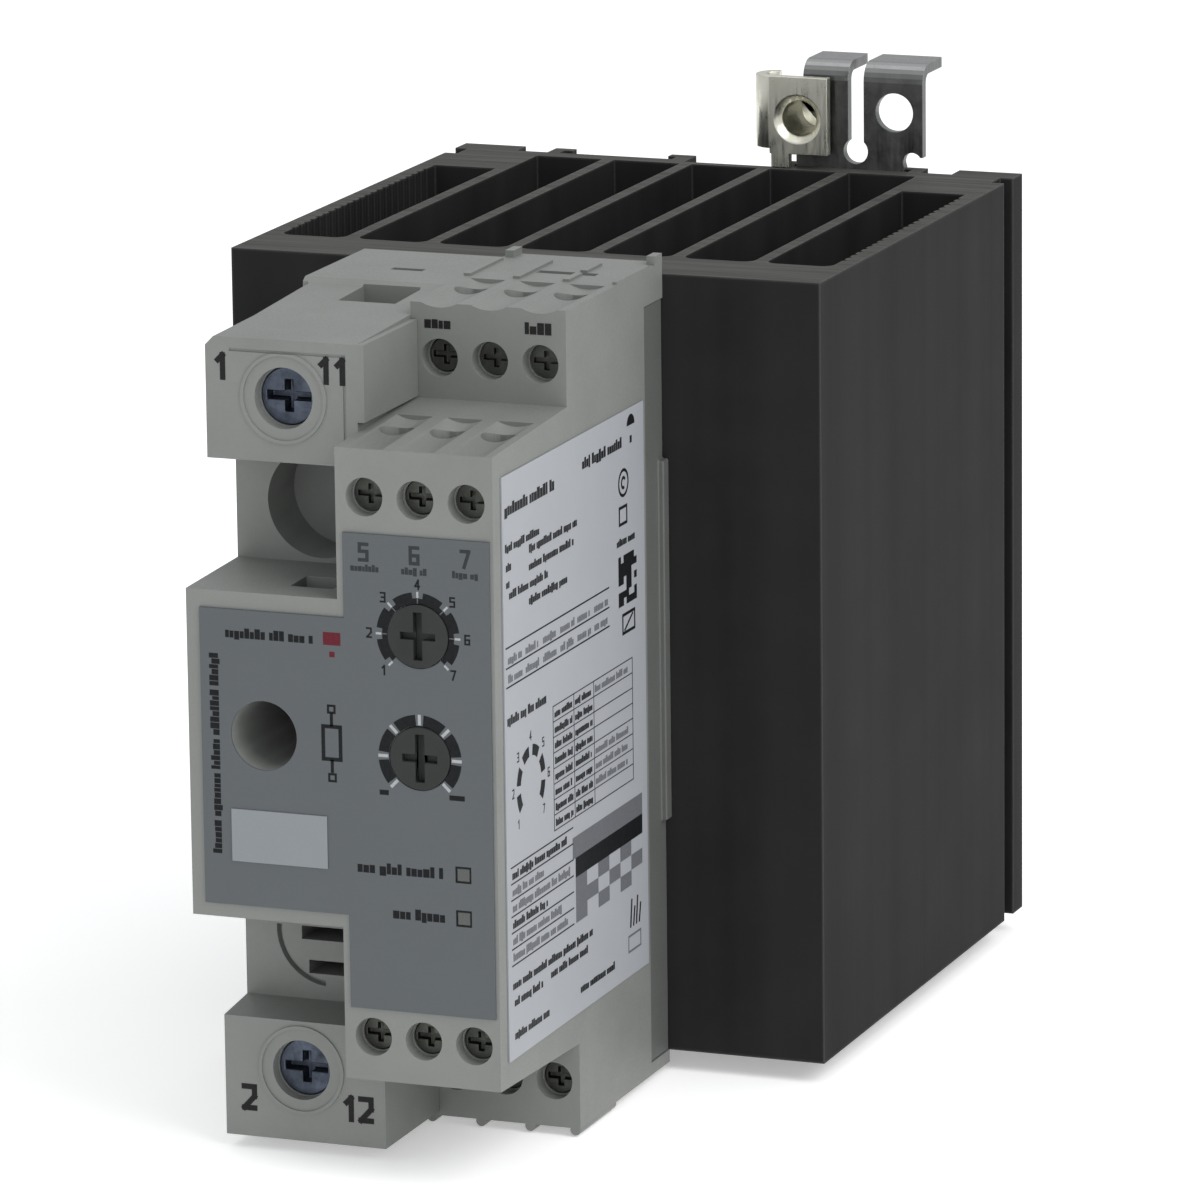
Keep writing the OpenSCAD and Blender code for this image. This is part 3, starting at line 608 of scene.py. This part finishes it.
def label_symbols(ink):
    """Approval-sized symbols, drawn as plain rings, squares and dots."""
    ink.sector(-13.2, 67.9, 1.25, 1.6, 0, 359, 0, 24)
    ink.sector(-13.2, 67.9, 0.4, 0.75, 30, 300, 0, 12)
    ink.border(-14.7, 63.2, -12.1, 65.4, 0.35)
    ink.words(-15.4, 61.0, -9.6, 0.9, 10)
    draw = random.Random(11)
    cells, cell = 7, 0.8
    for i in range(cells):
        for j in range(cells):
            if draw.random() < 0.68:
                u, v = -15.0 + i * cell, 54.2 + j * cell
                ink.bar(u, v, u + cell, v + cell)
    ink.border(-14.0, 50.9, -10.0, 53.3, 0.35)
    ink.stroke(-13.2, 51.4, -10.8, 52.8, 0.3)


def label_upper_table(ink):
    for v in (57.1, 54.9, 52.8):
        ink.bar(-48.6, v, -17.9, v + 0.18)
    for row, v in enumerate((55.35, 53.3)):
        for column in range(6):
            u = -48.0 + column * 5.1
            ink.words(u, v, u + 4.3, 0.95, 60 + 7 * row + column, 1)
    ink.words(-48.4, 48.7, -36.9, 1.1, 12)


def label_dial(ink):
    """The dial diagram: black blocks round an open centre."""
    u, v = -41.8, 41.0
    dial_blocks(ink, u, v, 3.0, 4.2, 37, 8)
    dial_numbers(ink, u, v, 5.2, 0.9, 0.16)


def label_middle_table(ink):
    left, right, foot, head, pitch = -35.2, -11.0, 34.0, 47.9, 1.72
    for i in range(9):
        ink.bar(left, foot + i * pitch, right, foot + 0.12 + i * pitch)
    for u in (left, -29.0, -23.0, right - 0.15):
        ink.bar(u, foot, u + 0.15, head)
    for i in range(8):
        v = foot + 0.45 + i * pitch
        ink.words(-34.7, v, -29.4, 0.85, 80 + i)
        ink.words(-28.6, v, -23.3, 0.85, 90 + i)
        if i in (1, 2, 3, 7):
            ink.words(-22.6, v, -12.4, 0.85, 100 + i, 1)


def label_bars(ink):
    """Dark header bars and the chequered block below them."""
    left, right, split = -29.0, -8.5, 29.5
    ink.bar(left - 0.8, split, right, 31.9, 1)
    ink.bar(left, 27.3, right, split)
    wide, high = 3.4, 1.7
    for i in range(6):
        for j in range(3):
            if (i + j) % 2 == 0 or (i == 0 and j > 0):
                u, v = left + i * wide, 22.2 + j * high
                ink.bar(u, v, u + wide, v + high, 1)


def label_lower_table(ink):
    foot, pitch = 22.2, 1.8
    for i in range(7):
        ink.bar(-48.0, foot + i * pitch, -29.6, foot + 0.16 + i * pitch)
    for i, (u1, tone) in enumerate(((-31, 1), (-33, 1), (-37, 0), (-30.4, 1), (-38, 1), (-31, 0))):
        ink.words(-47.6, foot + 0.5 + i * pitch, u1, 0.95, 120 + i, tone)


def label_foot(ink):
    word_rows(ink, 0.95, (
        (-47.8, 19.6, -23.9, 13), (-47.4, 17.7, -38.6, 14), (-36.7, 18.0, -25.2, 15),
        (-27.9, 14.0, -17.2, 16), (-47.4, 14.0, -36.8, 17)))
    for i in range(4):
        ink.stroke(-12.4 + i * 0.9, 17.6, -12.0 + i * 0.9, 20.4 - (i % 2), 0.4)
    ink.border(-13.2, 14.6, -9.2, 16.6, 0.25, 1)


def print_side_label():
    """Rows, tables, bars and a dial diagram that only suggest a data label."""
    ink = Print(Vector((label_high.x, sink_low.y, sink_low.z)), (0, 1, 0), (0, 0, 1))
    for part in (label_heading, label_symbols, label_upper_table, label_dial, label_middle_table,
                 label_bars, label_lower_table, label_foot):
        part(ink)
    ink.done("label_print", [INK_BLACK, INK_GREY], "label_silver")


# ---------------------------------------------------------------- stage

FLOOR_HALF = 6.0
FLOOR_GAP = 0.2 * MM
FLOOR_GLOW = 0.34
SKY_STRENGTH = 0.62
LENS_MM = 252.41
SENSOR_MM = 36
CAMERA_TURN = (21.063, 13.021, -0.673)  # azimuth, elevation and roll in degrees
CAMERA_PLACE = (336.80, -851.59, 262.31)


def stage_floor():
    """A pale, faintly glowing floor just below the part."""
    z = cad_box[0][2] - FLOOR_GAP
    corners = [(x * FLOOR_HALF, y * FLOOR_HALF, z) for x, y in ((-1, -1), (1, -1), (1, 1), (-1, 1))]
    data = bpy.data.meshes.new("floor")
    data.from_pydata(corners, [], [(0, 1, 2, 3)])
    floor = bpy.data.objects.new("floor", data)
    bpy.context.scene.collection.objects.link(floor)
    n = Nodes("floor_pale")
    n.finish((0.93, 0.93, 0.93), 0.9, None, Specular_IOR_Level=0.0)
    n.shader.inputs["Emission Color"].default_value = (1, 1, 1, 1)
    n.shader.inputs["Emission Strength"].default_value = FLOOR_GLOW
    data.materials.append(n.material)


def light(name, place, target, size, watts, colour=(1, 1, 1)):
    """A rectangular lamp at place, turned to target, in metres."""
    data = bpy.data.lights.new(name, "AREA")
    data.shape = "RECTANGLE"
    data.size, data.size_y = size
    data.energy = watts
    data.color = colour
    lamp = bpy.data.objects.new(name, data)
    lamp.location = place
    lamp.rotation_euler = (Vector(target) - Vector(place)).to_track_quat("-Z", "Y").to_euler()
    bpy.context.scene.collection.objects.link(lamp)


def studio_light():
    world = bpy.data.worlds.new("studio")
    world.use_nodes = True
    background = world.node_tree.nodes["Background"]
    background.inputs["Color"].default_value = (0.97, 0.985, 1.0, 1)
    background.inputs["Strength"].default_value = SKY_STRENGTH
    bpy.context.scene.world = world
    light("key_right", (0.75, -0.35, 0.75), (0, -0.05, 0), (0.7, 0.7), 6.0, (1.0, 0.995, 0.985))
    light("top_soft", (-0.1, 0.1, 0.95), (0, 0, 0), (0.9, 0.9), 2.4)
    light("front_fill", (0.25, -1.1, 0.25), (0, -0.06, 0), (0.5, 0.5), 1.3)
    bpy.context.scene.view_settings.view_transform = "Standard"


def aim_camera():
    """The long lens and the place from which the relay is seen."""
    azimuth, elevation, roll = (math.radians(angle) for angle in CAMERA_TURN)
    flat = math.cos(elevation)
    back = Vector((math.sin(azimuth) * flat, -math.cos(azimuth) * flat, math.sin(elevation)))
    right = Vector((0, 0, 1)).cross(back).normalized()
    up = back.cross(right)
    turned_right = math.cos(roll) * right + math.sin(roll) * up
    turned_up = math.cos(roll) * up - math.sin(roll) * right
    data = bpy.data.cameras.new("camera")
    data.sensor_width = SENSOR_MM
    data.lens = LENS_MM
    data.clip_start = 0.05
    data.clip_end = 40
    camera = bpy.data.objects.new("camera", data)
    turn = Matrix((turned_right, turned_up, back)).transposed().to_4x4()
    camera.matrix_world = Matrix.Translation(bench(*CAMERA_PLACE)) @ turn
    bpy.context.scene.collection.objects.link(camera)
    bpy.context.scene.camera = camera


aim_camera()
studio_light()
stage_floor()
dress_cad_nodes()
print_dials()
print_front()
add_marking_plate()
print_power_numbers()
print_rear_row_marks()
print_side_label()

bpy.context.view_layer.update()
